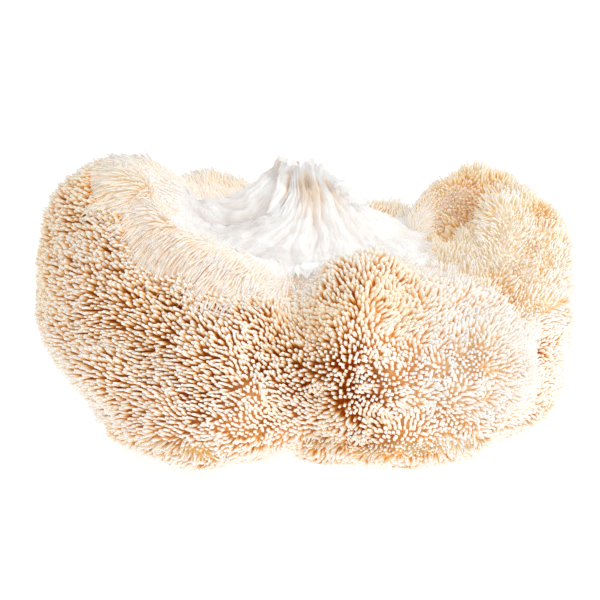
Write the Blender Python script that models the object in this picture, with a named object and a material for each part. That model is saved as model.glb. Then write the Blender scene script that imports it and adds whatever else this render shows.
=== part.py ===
"""A picked lion's mane mushroom, one fruiting body, lying as it was set down.

Rounded lobes crowd round the torn base where it was pulled from the wood. They carry spines all
over the outside, and the base stands up in the middle as a folded, twisted peak. Sizes are in
millimetres here and become metres as each mesh is made. +X runs along the mushroom's length, -Y
is its front and +Z is up. The finished part is moved so that the origin is under its middle, on
the surface it rests on.
"""

import math
import random

import bmesh
import bpy
import numpy as np
from mathutils import Euler, Matrix, Vector, noise

MM = 0.001
SEED = 7
NAME = "fruiting_body"
# The middle of the finished mushroom, measured in the numbers below.
MIDDLE = Vector((0.8, 2.0, 0))

# Each lobe of the flesh under the spines: centre, half sizes and lean (degrees round X, Y, Z).
LOBES = {
    "left": ((-43.5, -5, 44.5), (42, 42, 37.5), (0, 0, 0)),
    "left_crown": ((-58, 3, 64), (24, 30, 23), (0, -8, 0)),
    "left_front": ((-27, -26, 32), (25, 29, 29), (-8, 0, 0)),
    "left_low": ((-52, -12, 30.5), (24, 37.5, 22.5), (0, 0, 0)),
    "left_foot": ((-33, -20, 20), (34, 38.5, 24), (0, 0, 0)),
    "front": ((19, -26, 33), (24, 30, 31), (-8, 0, 0)),
    "front_middle": ((38, -27, 32), (21, 28, 28), (0, 0, 0)),
    "cleft": ((-3, -27, 27), (16, 23, 23), (0, 0, 0)),
    "cleft_foot": ((10, -27, 16), (20, 22, 19), (0, 0, 0)),
    "front_right": ((49, -23, 29), (22.5, 32, 26), (-5, 0, 0)),
    "front_foot": ((31, -21, 18), (36, 34, 22), (0, 0, 0)),
    "right": ((57, 6, 36), (30.5, 33, 29), (0, -6, 0)),
    "right_side": ((66, 12, 50), (19.8, 24, 22.8), (0, 0, 0)),
    "right_foot": ((54.5, -3, 20), (28.5, 36, 23.5), (0, 0, 0)),
    "right_shoulder": ((62, -6, 42), (24, 19, 19), (0, 0, 0)),
    "right_crown": ((55.5, 24, 55), (20.5, 18, 21.6), (0, 0, 0)),
    "right_crest": ((64, 8, 53), (10, 21, 22), (0, 0, 0)),
    "back_left": ((-30, 36, 34), (27, 24, 38.5), (4, 0, 0)),
    "back_right": ((23, 38, 28), (30, 23, 32.5), (4, 0, 0)),
    "heart": ((0, 4, 28), (58, 42, 28), (0, 0, 0)),
}
# The hollow round the torn base: rounded bowls cut from the lobes, given in the same way.
HOLLOWS = {
    "hollow": ((-2, 12, 84), (43, 34, 27), (0, 0, 0)),
    "hollow_left": ((-23, -4, 88), (31, 32, 29), (0, 0, 0)),
    "dent": ((46, 2, 78), (14.5, 19, 21.5), (0, 0, 0)),
    "small_dent": ((75.5, 0, 69), (6, 7, 5.5), (0, 0, 0)),
}
FLESH_VOXEL = 2.5
FLESH_SMOOTHING = 14
LUMP_SIZE = 16
LUMP_HEIGHT = 2.5
LUMP_OFFSET = Vector((3.1, 1.7, 0.4))
SMALL_LUMPS = 0.35

# The torn base: its middle and its skirt's reach, the peak's, and how deep its foot is sunk.
TORN_MIDDLE = np.array((0, 9))
TORN_REACH = np.array((43, 31))
TORN_SUMMIT = np.array((-2, 6))
TORN_SUMMIT_REACH = np.array((7, 1.6))
TORN_FOOT = 30
# The peak's height from its left tip to its right end.
TORN_CREST = np.array(((-9, 90), (-7, 89.3), (-5, 87.9), (-3, 88.1), (-1, 88.7), (1, 88), (3, 86.8), (5, 85.6)))
# Round the peak: the angle, the skirt's height and how hollow the slope is.
TORN_SIDES = np.array(
    (
        (0, 60, 1.7),
        (45, 60, 1.6),
        (90, 60, 1.7),
        (135, 64, 1.7),
        (168, 72, 2.6),
        (190, 66, 1.9),
        (210, 61, 1.6),
        (235, 60, 1.5),
        (270, 57, 1.5),
        (300, 58, 1.5),
        (330, 59, 1.6),
    )
)
# Creases between the folds: how deep at the skirt and at the peak, then the angle at each rise.
CREASE_RISES = (0, 0.2, 0.4, 0.6, 0.8, 1)
CREASES = np.array(
    (
        (1.2, 1.0, 20, 24, 28, 32, 36, 42),
        (1.2, 1.0, 52, 55, 58, 62, 68, 76),
        (1.2, 1.0, 84, 87, 90, 95, 102, 112),
        (1.4, 1.0, 116, 119, 122, 126, 132, 140),
        (1.2, 0.8, 146, 148, 151, 154, 158, 166),
        (0.3, 2.4, 180, 185, 203, 237, 248, 241),
        (2.4, 0.7, 242, 244, 253, 264, 270, 262),
        (1.4, 0.6, 258, 262, 262, 269, 276, 272),
        (0.8, 2.6, 270, 272, 277, 281, 283, 279),
        (1.4, 1.2, 281, 283, 286, 288, 295, 303),
        (1.4, 1.4, 300, 303, 306, 308, 312, 322),
        (1.0, 1.1, 318, 320, 320, 320, 324, 333),
        (1.2, 1.0, 338, 336, 334, 334, 338, 345),
    )
)
CREASE_WIDTH = 2.4
# A fold takes at most this share of the way to the peak's own middle.
DEEPEST_FOLD = 0.6
# The hollow in the peak's left face: where it starts, where it ends at each rise, and its depth.
RECESS_STARTS = 174
RECESS_ENDS = (176, 184, 202, 235, 233, 208)
RECESS_DEPTHS = (0, 1.5, 5, 6.5, 5, 0)
# Across it the floor falls in this curve until the far wall begins.
RECESS_CURVE = 1.6
RECESS_WALL = 0.86
TORN_SPOKES = 72
TORN_RINGS = 9

# Round the hollow: the angle, how far the white flesh and the fluff reach in skirt reaches, how
# long the fluff is and how flat it is combed.
BANDS = np.array(
    (
        (0, 0.98, 1.95, 3.0, 0.1),
        (33, 0.98, 1.7, 3.0, 0.1),
        (90, 1.1, 1.4, 4.5, 0.4),
        (140, 1.1, 1.45, 5.5, 0.6),
        (180, 1.22, 1.58, 7.5, 0.9),
        (193, 1.27, 1.67, 8, 1),
        (205, 1.36, 1.74, 8.5, 1),
        (214, 1.42, 1.82, 8.5, 1),
        (223, 1.52, 1.92, 8.5, 1),
        (231, 1.54, 1.88, 8.5, 1),
        (240, 1.45, 1.79, 8, 1),
        (247, 1.36, 1.7, 7.5, 1),
        (254, 1.27, 1.52, 6, 0.9),
        (261, 0.95, 1.2, 4.5, 0.6),
        (266, 0.84, 1.1, 4, 0.5),
        (284, 0.84, 1.1, 4, 0.5),
        (292, 0.97, 1.12, 4, 0.5),
        (300, 1.0, 1.15, 4, 0.5),
        (316, 1.15, 1.6, 4, 0.4),
        (330, 1.15, 1.95, 3.6, 0.25),
        (346, 1.05, 2.05, 3.4, 0.15),
    )
)
HOLLOW_FLOOR = 45
FLUFF_SHARE = 0.8
FLUFF_LEAN = 1.1

# Spines stand on the facets of the flesh, one to a facet, and lean up and to their own side.
FACETS = 3260
# A facet of fewer square millimetres carries none.
SMALLEST_FACET = 2.5
SPINE_LENGTH = 4.3
SPINE_LENGTHS = (0.75, 1.15)
SPINE_SPREAD = 0.22
LEAN_UP = 0.45
LEAN_ASIDE = 0.5
LEAN_CHANGES_AT = 45
LEAN_CHANGES_OVER = 30
# Under the mushroom they are shorter, stop short of the floor, and leave the pressed patches bare.
FOOT_SPINES = 0.6
FLOOR_GAP = 0.4
FOOT_BARE = 1.2


def clear_scene():
    for item in list(bpy.data.objects):
        bpy.data.objects.remove(item, do_unlink=True)


def add_object(name, mesh):
    item = bpy.data.objects.new(name, mesh)
    bpy.context.scene.collection.objects.link(item)
    return item


def add_cutter(name, mesh):
    """An object that only a boolean uses, so it stays out of the render."""
    item = add_object(name, mesh)
    item.hide_render = True
    item.display_type = "WIRE"
    return item


def with_modifier(mesh, kind, **settings):
    """The mesh as one modifier leaves it, as a new mesh."""
    item = add_object("work", mesh)
    modifier = item.modifiers.new(kind, kind)
    for key, value in settings.items():
        setattr(modifier, key, value)
    graph = bpy.context.evaluated_depsgraph_get()
    made = bpy.data.meshes.new_from_object(item.evaluated_get(graph))
    bpy.data.objects.remove(item, do_unlink=True)
    return made


def mesh_of(shell, name):
    mesh = bpy.data.meshes.new(name)
    shell.to_mesh(mesh)
    shell.free()
    return mesh


def balls(name, table):
    """The ellipsoids of a table, still overlapping, as one mesh."""
    shell = bmesh.new()
    for centre, radii, lean in table.values():
        turn = Euler([math.radians(angle) for angle in lean]).to_matrix().to_4x4()
        size = Matrix.Diagonal((*(radius * MM for radius in radii), 1))
        place = Matrix.Translation(Vector(centre) * MM) @ turn @ size
        bmesh.ops.create_icosphere(shell, subdivisions=4, radius=1, matrix=place)
    return mesh_of(shell, name)


def lumped(mesh):
    """Moves the surface in and out by a soft noise, as uneven growth does."""
    normals = [vertex.normal.copy() for vertex in mesh.vertices]
    for vertex, normal in zip(mesh.vertices, normals):
        spot = vertex.co / (LUMP_SIZE * MM) + LUMP_OFFSET
        swell = noise.noise(spot) + noise.noise(spot * 2) * SMALL_LUMPS
        vertex.co += normal * swell * LUMP_HEIGHT * MM
    return mesh


def flesh():
    """The smooth lobed body under the spines, with the hollow round the torn base."""
    voxels = {"mode": "VOXEL", "voxel_size": FLESH_VOXEL * MM}
    mesh = with_modifier(balls("lobes", LOBES), "REMESH", **voxels)
    for name, hollow in HOLLOWS.items():
        cutter = add_cutter(name, balls(name, {name: hollow}))
        mesh = with_modifier(mesh, "BOOLEAN", operation="DIFFERENCE", object=cutter, solver="EXACT")
        bpy.data.objects.remove(cutter, do_unlink=True)
    mesh = with_modifier(mesh, "REMESH", **voxels)
    mesh = with_modifier(mesh, "SMOOTH", factor=0.5, iterations=FLESH_SMOOTHING)
    return lumped(mesh)


def round_table(table, angles, column):
    """A column of a table whose first column is an angle, read at any angle."""
    return np.interp(angles, table[:, 0], table[:, column], period=360)


def torn_grid():
    """Points of the torn flesh, ring by ring from the skirt to the peak, with its folds drawn in."""
    angle, rise = np.meshgrid(np.arange(TORN_SPOKES) * 360 / TORN_SPOKES, np.linspace(0, 1, TORN_RINGS))
    turned = np.radians(angle)
    reach = TORN_REACH + (TORN_SUMMIT_REACH - TORN_REACH) * rise[..., None]
    middle = TORN_MIDDLE + (TORN_SUMMIT - TORN_MIDDLE) * rise[..., None]
    crest = np.interp(TORN_SUMMIT[0] + TORN_SUMMIT_REACH[0] * np.cos(turned), *TORN_CREST.T)
    skirt = round_table(TORN_SIDES, angle, 1)
    height = skirt + (crest - skirt) * rise ** round_table(TORN_SIDES, angle, 2)
    spread = reach * np.stack((np.cos(turned), np.sin(turned)), axis=-1)
    drawn = np.minimum(folds(angle, rise) / np.linalg.norm(spread, axis=-1), DEEPEST_FOLD)
    return np.concatenate((middle + spread * (1 - drawn[..., None]), height[..., None]), axis=-1)


def folds(angle, rise):
    """How far the torn flesh stands in at each point of its grid: creases and the recess."""
    reach = TORN_REACH + (TORN_SUMMIT_REACH - TORN_REACH) * rise[..., None]
    turned = np.radians(angle)
    round_reach = np.hypot(reach[..., 0] * np.sin(turned), reach[..., 1] * np.cos(turned))
    sunk = np.zeros(rise.shape)
    for low, high, *centres in CREASES:
        away = (angle - np.interp(rise, CREASE_RISES, centres) + 180) % 360 - 180
        away = np.abs(np.radians(away)) * round_reach
        sunk += (low + (high - low) * rise) * np.exp(-away / CREASE_WIDTH)
    ends = np.interp(rise, CREASE_RISES, RECESS_ENDS)
    across = np.clip((angle - RECESS_STARTS) / np.maximum(ends - RECESS_STARTS, 1), 0, 1)
    floor = (across / RECESS_WALL) ** RECESS_CURVE
    bowl = np.where(across < RECESS_WALL, floor, (1 - across) / (1 - RECESS_WALL))
    return sunk + np.interp(rise, CREASE_RISES, RECESS_DEPTHS) * bowl


def torn_base():
    """The folded peak of torn flesh as a closed solid, its foot sunk in the lobes."""
    grid = torn_grid()
    shell = bmesh.new()
    rings = [[shell.verts.new(Vector(point) * MM) for point in ring] for ring in grid]
    foot = [shell.verts.new(Vector((x, y, TORN_FOOT)) * MM) for x, y, _ in grid[0]]
    for low, high in zip((foot, *rings), rings):
        for spoke in range(TORN_SPOKES):
            after = (spoke + 1) % TORN_SPOKES
            shell.faces.new((low[spoke], low[after], high[after], high[spoke]))
    shell.faces.new(reversed(foot))
    shell.faces.new(rings[-1])
    bmesh.ops.triangulate(shell, faces=shell.faces[:])
    return mesh_of(shell, "torn_base")


def hollow_way(point):
    """The angle round the torn base's middle, the reach from it (1 at the skirt) and the way out."""
    flat = np.array((point.x, point.y)) / MM - TORN_MIDDLE
    angle = math.degrees(math.atan2(flat[1], flat[0])) % 360
    way = flat / TORN_REACH
    return angle, np.linalg.norm(way), Vector((*way, 0)).normalized()


def spine_direction(point, normal, combing):
    """Spines stand off the flesh and lean up and aside; by the hollow they lie combed away from it."""
    way = hollow_way(point)[2]
    side = max(-1.0, min(1.0, (point.x / MM - LEAN_CHANGES_AT) / LEAN_CHANGES_OVER))
    free = Vector((LEAN_ASIDE * side, 0, LEAN_UP))
    return (normal + free.lerp(way * FLUFF_LEAN, combing)).normalized()


def flat_foot(shell):
    """Cuts the shell level with the surface it rests on and closes the cuts."""
    geometry = shell.verts[:] + shell.edges[:] + shell.faces[:]
    bmesh.ops.bisect_plane(shell, geom=geometry, plane_co=(0, 0, 0), plane_no=(0, 0, -1), clear_outer=True)
    rim = [edge for edge in shell.edges if edge.is_boundary]
    bmesh.ops.holes_fill(shell, edges=rim, sides=0)


def spine_at(point):
    """A spine's mean length at a point and how it is combed, or None where the torn flesh lies."""
    angle, reach, _ = hollow_way(point)
    if point.z < HOLLOW_FLOOR * MM or reach > round_table(BANDS, angle, 2):
        return SPINE_LENGTH, 0
    if reach < round_table(BANDS, angle, 1):
        return None
    return FLUFF_SHARE * round_table(BANDS, angle, 3), round_table(BANDS, angle, 4)


def add_spines(shell, chance):
    """Draws each facet outside the hollow and off the foot out to one spine."""
    for face in shell.faces[:]:
        middle, normal = face.calc_center_median(), face.normal.copy()
        facts = spine_at(middle)
        if facts is None or middle.z < FOOT_BARE * MM or face.calc_area() < SMALLEST_FACET * MM**2:
            continue
        length = facts[0] * chance.uniform(*SPINE_LENGTHS)
        length *= 1 - (1 - FOOT_SPINES) * max(0, -normal.z)
        spread = Vector(chance.uniform(-1, 1) for _ in range(3)) * SPINE_SPREAD
        tip = middle + (spine_direction(middle, normal, facts[1]) + spread) * length * MM
        tip.z = max(tip.z, FLOOR_GAP * MM)
        crown = bmesh.ops.poke(shell, faces=[face])["verts"][0]
        crown.co = tip


def joined_flesh():
    """The lobes as facets a spine wide, with the torn base grown into them."""
    smooth = flesh()
    triangles = sum(len(face.vertices) - 2 for face in smooth.polygons)
    mesh = with_modifier(smooth, "DECIMATE", ratio=FACETS / triangles, use_collapse_triangulate=True)
    mesh = with_modifier(mesh, "SMOOTH", factor=0.5, iterations=2)
    peak = add_cutter("torn_base", torn_base())
    mesh = with_modifier(mesh, "BOOLEAN", operation="UNION", object=peak, solver="EXACT")
    bpy.data.objects.remove(peak, do_unlink=True)
    return mesh


def spiny_flesh():
    """The joined flesh, flat where it rests, each facet of the lobes drawn out to a spine."""
    shell = bmesh.new()
    shell.from_mesh(joined_flesh())
    bmesh.ops.triangulate(shell, faces=shell.faces[:])
    flat_foot(shell)
    shell.normal_update()
    add_spines(shell, random.Random(SEED))
    return mesh_of(shell, NAME)


def colour_material():
    material = bpy.data.materials.new("cream_flesh")
    material.use_nodes = True
    shader = material.node_tree.nodes["Principled BSDF"]
    shader.inputs["Base Color"].default_value = (0.84, 0.68, 0.47, 1)
    shader.inputs["Roughness"].default_value = 0.75
    shader.inputs["Metallic"].default_value = 0
    return material


def fruiting_body():
    body = add_object(NAME, spiny_flesh())
    body.data.transform(Matrix.Translation(-MIDDLE * MM))
    body.data.materials.append(colour_material())
    return body


clear_scene()
fruiting_body()
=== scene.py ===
"""The look of a picked lion's mane mushroom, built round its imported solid.

Lengths are in millimetres and in part.py's own numbers until a mesh is made: placed() then moves
them by MIDDLE and turns them into metres. +X is the mushroom's right, -Y its front and +Z up.
"""

import math

import bmesh
import bpy
import numpy as np
from mathutils import Euler, Matrix, Vector, noise
from mathutils.bvhtree import BVHTree
from mathutils.kdtree import KDTree


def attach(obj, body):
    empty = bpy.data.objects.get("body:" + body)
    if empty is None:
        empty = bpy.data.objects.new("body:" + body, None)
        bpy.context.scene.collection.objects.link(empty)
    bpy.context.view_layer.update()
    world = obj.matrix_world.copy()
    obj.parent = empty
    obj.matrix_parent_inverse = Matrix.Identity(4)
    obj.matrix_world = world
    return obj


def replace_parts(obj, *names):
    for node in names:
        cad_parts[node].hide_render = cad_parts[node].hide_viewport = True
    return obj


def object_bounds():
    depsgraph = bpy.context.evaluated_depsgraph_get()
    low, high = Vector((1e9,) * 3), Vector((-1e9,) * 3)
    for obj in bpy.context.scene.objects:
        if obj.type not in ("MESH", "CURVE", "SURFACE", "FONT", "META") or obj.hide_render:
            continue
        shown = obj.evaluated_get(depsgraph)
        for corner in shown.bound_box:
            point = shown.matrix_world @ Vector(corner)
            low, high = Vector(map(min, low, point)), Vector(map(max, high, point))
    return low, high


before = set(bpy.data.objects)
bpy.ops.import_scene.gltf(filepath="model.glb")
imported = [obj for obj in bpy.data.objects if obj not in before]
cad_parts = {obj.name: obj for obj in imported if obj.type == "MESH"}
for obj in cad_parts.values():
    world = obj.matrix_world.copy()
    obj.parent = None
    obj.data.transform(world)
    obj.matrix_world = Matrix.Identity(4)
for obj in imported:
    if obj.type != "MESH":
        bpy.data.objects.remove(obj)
SOLID_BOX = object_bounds()

MM = 0.001
SEED = 11
MIDDLE = Vector((0.8, 2.0, 0))
# A height over everything, from where rays are cast down.
SKY = 200
DOWN = Vector((0, 0, -1))
# The solid's reach, which no spine passes.
BOX = [np.array(corner) / MM + np.array(MIDDLE) for corner in SOLID_BOX]

# The flesh under the spines, as part.py has it: centre, half sizes and lean of each lobe.
LOBES = {
    "left": ((-43.5, -5, 44.5), (42, 42, 37.5), (0, 0, 0)),
    "left_crown": ((-58, 3, 64), (24, 30, 23), (0, -8, 0)),
    "left_front": ((-27, -26, 32), (25, 29, 29), (-8, 0, 0)),
    "left_low": ((-52, -12, 30.5), (24, 37.5, 22.5), (0, 0, 0)),
    "left_foot": ((-33, -20, 20), (34, 38.5, 24), (0, 0, 0)),
    "front": ((19, -26, 33), (24, 30, 31), (-8, 0, 0)),
    "front_middle": ((38, -27, 32), (21, 28, 28), (0, 0, 0)),
    "cleft": ((-3, -27, 27), (16, 23, 23), (0, 0, 0)),
    "cleft_foot": ((10, -27, 16), (20, 22, 19), (0, 0, 0)),
    "front_right": ((49, -23, 29), (22.5, 32, 26), (-5, 0, 0)),
    "front_foot": ((31, -21, 18), (36, 34, 22), (0, 0, 0)),
    "right": ((57, 6, 36), (30.5, 33, 29), (0, -6, 0)),
    "right_side": ((66, 12, 50), (19.8, 24, 22.8), (0, 0, 0)),
    "right_foot": ((54.5, -3, 20), (28.5, 36, 23.5), (0, 0, 0)),
    "right_shoulder": ((62, -6, 42), (24, 19, 19), (0, 0, 0)),
    "right_crown": ((55.5, 24, 55), (20.5, 18, 21.6), (0, 0, 0)),
    "right_crest": ((64, 8, 53), (10, 21, 22), (0, 0, 0)),
    "back_left": ((-30, 36, 34), (27, 24, 38.5), (4, 0, 0)),
    "back_right": ((23, 38, 28), (30, 23, 32.5), (4, 0, 0)),
    "heart": ((0, 4, 28), (58, 42, 28), (0, 0, 0)),
}
# The bowls cut from it, given in the same way.
HOLLOWS = {
    "hollow": ((-2, 12, 84), (43, 34, 27), (0, 0, 0)),
    "hollow_left": ((-23, -4, 88), (31, 32, 29), (0, 0, 0)),
    "dent": ((46, 2, 78), (14.5, 19, 21.5), (0, 0, 0)),
    "small_dent": ((75.5, 0, 69), (6, 7, 5.5), (0, 0, 0)),
}
# How it is remeshed, smoothed and made lumpy.
FLESH_VOXEL = 2.5
FLESH_SMOOTHING = 14
LUMP_SIZE = 16
LUMP_HEIGHT = 2.5
LUMP_OFFSET = Vector((3.1, 1.7, 0.4))
SMALL_LUMPS = 0.35

# The torn base: its middle and its skirt's reach, and the peak's.
TORN_MIDDLE = np.array((0, 9))
TORN_REACH = np.array((43, 31))
TORN_SUMMIT = np.array((-2, 6))
TORN_SUMMIT_REACH = np.array((7, 1.6))
# The peak's height from its left tip to its right end.
TORN_CREST = np.array(
    ((-9, 90), (-7, 89.3), (-5, 87.9), (-3, 88.1), (-1, 88.7), (1, 88), (3, 86.8), (5, 85.6))
)
# Round the peak: the angle, the skirt's height and how hollow the slope is.
TORN_SIDES = np.array(
    (
        (0, 60, 1.7),
        (45, 60, 1.6),
        (90, 60, 1.7),
        (135, 64, 1.7),
        (168, 72, 2.6),
        (190, 66, 1.9),
        (210, 61, 1.6),
        (235, 60, 1.5),
        (270, 57, 1.5),
        (300, 58, 1.5),
        (330, 59, 1.6),
    )
)
SKIRT_HEIGHT, SKIRT_SLOPE = range(1, 3)
# Creases between the folds: how deep at the skirt and at the peak, then the angle at each rise.
CREASE_RISES = (0, 0.2, 0.4, 0.6, 0.8, 1)
CREASES = np.array(
    (
        (1.2, 1.0, 20, 24, 28, 32, 36, 42),
        (1.2, 1.0, 52, 55, 58, 62, 68, 76),
        (1.2, 1.0, 84, 87, 90, 95, 102, 112),
        (1.4, 1.0, 116, 119, 122, 126, 132, 140),
        (1.2, 0.8, 146, 148, 151, 154, 158, 166),
        (0.3, 2.4, 180, 185, 203, 237, 248, 241),
        (2.4, 0.7, 242, 244, 253, 264, 270, 262),
        (1.4, 0.6, 258, 262, 262, 269, 276, 272),
        (0.8, 2.6, 270, 272, 277, 281, 283, 279),
        (1.4, 1.2, 281, 283, 286, 288, 295, 303),
        (1.4, 1.4, 300, 303, 306, 308, 312, 322),
        (1.0, 1.1, 318, 320, 320, 320, 324, 333),
        (1.2, 1.0, 338, 336, 334, 334, 338, 345),
    )
)
# The creases' width at the skirt, and how much deeper they are here than in the solid.
CREASE_WIDTH = 1.7
CREASE_DEPTH = 1.3
# How they wander: the size, offset and height of each noise.
CREASE_WANDER = ((7, 41, 1.6), (2.5, 43, 0.6))
# Up the peak they wander less and get narrower, from where a radian is this many millimetres.
WANDER_ROOM = 12
CREASE_ROOM = 15
NARROWEST = 0.35
# Each fold's fibres are read from the noise at the angle that the fold has at this rise.
LABEL_RISE = 0.4
# The hollow in the peak's left face: where it starts, where it ends at each rise, and its depth.
RECESS_STARTS = 174
RECESS_ENDS = (176, 184, 202, 235, 233, 208)
RECESS_DEPTHS = (0, 1.5, 5, 6.5, 5, 0)
# It sags to its deepest at this share of the way across, then rises in a steep wall.
RECESS_WALL = 0.86
RECESS_SAG = 1.6
# Ragged flakes stand up along the peak's right edge, from this rise on.
FLAKE_CREASE = 12
FLAKE_HEIGHT = 2.4
FLAKE_THICKNESS = 0.7
FLAKE_RISE = 0.6
# Flakes of torn flesh: root, direction, length and width.
FLAKES = (
    ((8.5, 4, 79), (0.8, -0.2, 0.45), 4.5, 3.5),
    ((11, 4, 77), (0.75, -0.1, 0.3), 5.5, 4),
    ((13.5, 3, 74.5), (0.8, -0.2, 0.1), 5, 4),
    ((16, 3, 72), (0.8, 0, 0.25), 4, 3),
    ((-12, -20, 57), (0.5, -0.7, -0.3), 5, 4),
    ((-8, 4.6, 87.6), (0.15, -0.15, 1), 2.4, 2.6),
    ((-5, 4.6, 86), (0.1, -0.2, 1), 2.6, 3.4),
    ((-2, 4.6, 86.2), (-0.1, -0.15, 1), 2.8, 3.2),
    ((1, 4.6, 86), (0.2, -0.2, 1), 2.6, 3.4),
    ((3.6, 4.8, 84.4), (0.3, -0.1, 1), 2.6, 2.8),
    ((-6.5, -17, 59), (0, -0.75, -0.5), 5, 6),
    ((-2, -17, 59.5), (0.15, -0.75, -0.5), 4.5, 5),
    ((1, -16, 60), (0.1, -0.75, -0.5), 4.5, 6),
    ((7, -15, 60), (0.2, -0.75, -0.4), 4.5, 6),
    ((12, -15, 60), (0.4, -0.7, -0.3), 4.5, 5),
    ((-9.5, -15, 60), (-0.4, -0.7, -0.4), 4, 5),
)
FLAKE_STEPS = 6
# Small flakes near the torn flesh's edge: how many, how far out, and their size.
EDGE_FLAKES = 90
EDGE_FLAKE_REACH = (0.8, 1.0)
EDGE_FLAKE_LENGTHS = (1.5, 4)
EDGE_FLAKE_WIDTHS = (0.8, 2.2)
EDGE_FLAKE_LIFT = 0.6
# The sheet of torn flesh: how fine it is, how far it goes on past the skirt, and how it lies.
TORN_SPOKES = 480
TORN_RINGS = 110
TORN_OUTERMOST = -0.75
SKIRT_DROP = 30
FOLDS_SINK = 0.7
TORN_LIFT = 0.4
TORN_BLEND = 3.0
# Its ragged edge, past which it is tucked under the other flesh.
TORN_EDGE = ((3, 5, 0.1), (9, 2, 0.08))
TORN_EDGE_WIDTH = 0.05
TORN_TUCK = 2
# Under the front of the skirt there is a brown opening: where it is and how far it reaches.
CAVITY = np.array((-3.5, -21.5, 54.5))
CAVITY_REACH = np.array((5, 5, 5.5))
# No spine grows within this share of its reach, and no edge flake this many degrees round it.
CAVITY_BARE = 0.4
CAVITY_ANGLE = 273
CAVITY_ROOM = 18
CAVITY_STAIN = 0.45
# Painted tan shade lies in the deepest creases above this rise, and the peak's left tip is tan.
CREASE_SHADE_DEPTH = 1.1
CREASE_SHADE_RISE = 0.5
TIP_PLACE = -10.5
TIP_WIDTH = 2
TIP_RISE = 0.85
TIP_STAIN = 0.3
# The hollow in the peak's left face has none: from and to which rise, and left of which place.
RECESS_FROM = 0.3
RECESS_TO = 0.97
RECESS_RIGHT = -9
# The fine fibres' cells round the peak and up it, and to the millimetre elsewhere.
PEAK_FIBRES = (300, 12)
SKIRT_FIBRES = 0.8
# How dark the painted shade in the folds and the lumps gets as they go in.
DEEPEST_SHADE = 5
FOLD_SHADE = 0.17
LUMP_SHADE = 0.8

# Round the hollow: the angle, how far the white flesh and the fluff reach in skirt reaches, how
# long the fluff is and how flat it is combed.
BANDS = np.array(
    (
        (0, 0.98, 1.95, 3.0, 0.1),
        (33, 0.98, 1.7, 3.0, 0.1),
        (90, 1.1, 1.4, 4.5, 0.4),
        (140, 1.1, 1.45, 5.5, 0.6),
        (180, 1.22, 1.58, 7.5, 0.9),
        (193, 1.27, 1.67, 8, 1),
        (205, 1.36, 1.74, 8.5, 1),
        (214, 1.42, 1.82, 8.5, 1),
        (223, 1.52, 1.92, 8.5, 1),
        (231, 1.54, 1.88, 8.5, 1),
        (240, 1.45, 1.79, 8, 1),
        (247, 1.36, 1.7, 7.5, 1),
        (254, 1.27, 1.52, 6, 0.9),
        (261, 0.95, 1.2, 4.5, 0.6),
        (266, 0.84, 1.1, 4, 0.5),
        (284, 0.84, 1.1, 4, 0.5),
        (292, 0.97, 1.12, 4, 0.5),
        (300, 1.0, 1.15, 4, 0.5),
        (316, 1.15, 1.6, 4, 0.4),
        (330, 1.15, 1.95, 3.6, 0.25),
        (346, 1.05, 2.05, 3.4, 0.15),
    )
)
FLESH_EDGE, FLUFF_EDGE, FLUFF_LENGTH, COMBING = range(1, 5)
# How the bands' edges wander, and the height under which they end.
BAND_WANDER = ((7, 3, 0.1),)
HOLLOW_FLOOR = 45

# How hairs taper: places along one from its foot to its tip, and the share of its radius there.
SPINE_PROFILE = ((-0.05, 0.95), (0.55, 1.0), (0.9, 0.78))
FLUFF_PROFILE = ((-0.05, 1.0), (0.45, 0.9), (0.8, 0.55))
# Nothing that grows comes nearer to the floor than this.
FLOOR_GAP = 0.25

# Spines: how long and thick they are at places from left to right.
CANDIDATES = 560000
SPINE_PLACES = (-70, -15, 15, 45, 65, 80)
SPINE_RADII = (0.54, 0.56, 0.66, 0.62, 0.52, 0.46)
SPINE_LENGTHS = (5.1, 5.0, 4.1, 3.8, 3.6, 3.4)
SPINE_WIDTH_SPREAD = (0.85, 1.15)
SPINE_LENGTH_SPREAD = (0.75, 1.15)
SHORTER_BELOW = 0.35
# How many radii apart they stand, and how much farther below and at the back, where they are hidden.
SPINE_SPACINGS = (1.95, 1.84, 1.62, 1.58, 1.6, 1.7)
HIDDEN_SPACING = 1.1
BACK = 20
# Spines whose flesh looks down more than this belong to the underside.
UNDERSIDE = -0.5
# Where the pieces of the other spines meet.
BACK_LOBES = 12
LEFT_LOBE = -4
RIGHT_LOBE = 56
# How strongly they stand in whorls, and how wide the whorls are.
WHORLS = (0.4, 0.5, 0.9, 0.95, 1.0, 1.0)
WHORL_SIZE = 14
SMALL_WHORL_SIZE = 5.5
# How far apart tufts stand, and how strongly their tips are drawn together.
SPINE_TUFTS = 3.6
SPINE_PULL = 0.3
TUFT_PULL = 0.7
# How they lean: up, aside at places from left to right, at random, and how much at their feet.
LEAN_UP = 0.5
LEAN_PLACES = (-60, -10, 20, 45, 80)
LEAN_ASIDE = (-0.95, -0.8, -0.15, 0.1, 0.3)
LEAN_SPREAD = 0.14
ROOT_LEAN = 0.35

# Fluff: how dense, thick and curled it is, and how it is combed.
FLUFF_SPACING = 0.78
FLUFF_RADIUS = 0.5
FLUFF_WIDTH_SPREAD = (0.7, 1.25)
FLUFF_LENGTH_SPREAD = (0.75, 1.25)
FLUFF_LOCK = 4.5
FLUFF_CURL = 0.6
FLUFF_TUFTS = 3.4
COMB_WAVE = 9
COMB_SPREAD = 0.12
COMB_DROOP = (0, 0, -0.1)
# Loose white fibres lie over the torn flesh's edge: how far in they start, and their size.
WISP_REACH = 0.24
WISP_SPACING = 1.0
WISP_RADIUS = 0.24
WISP_LENGTHS = (2.5, 6)
WISP_CURL = 0.8

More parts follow.
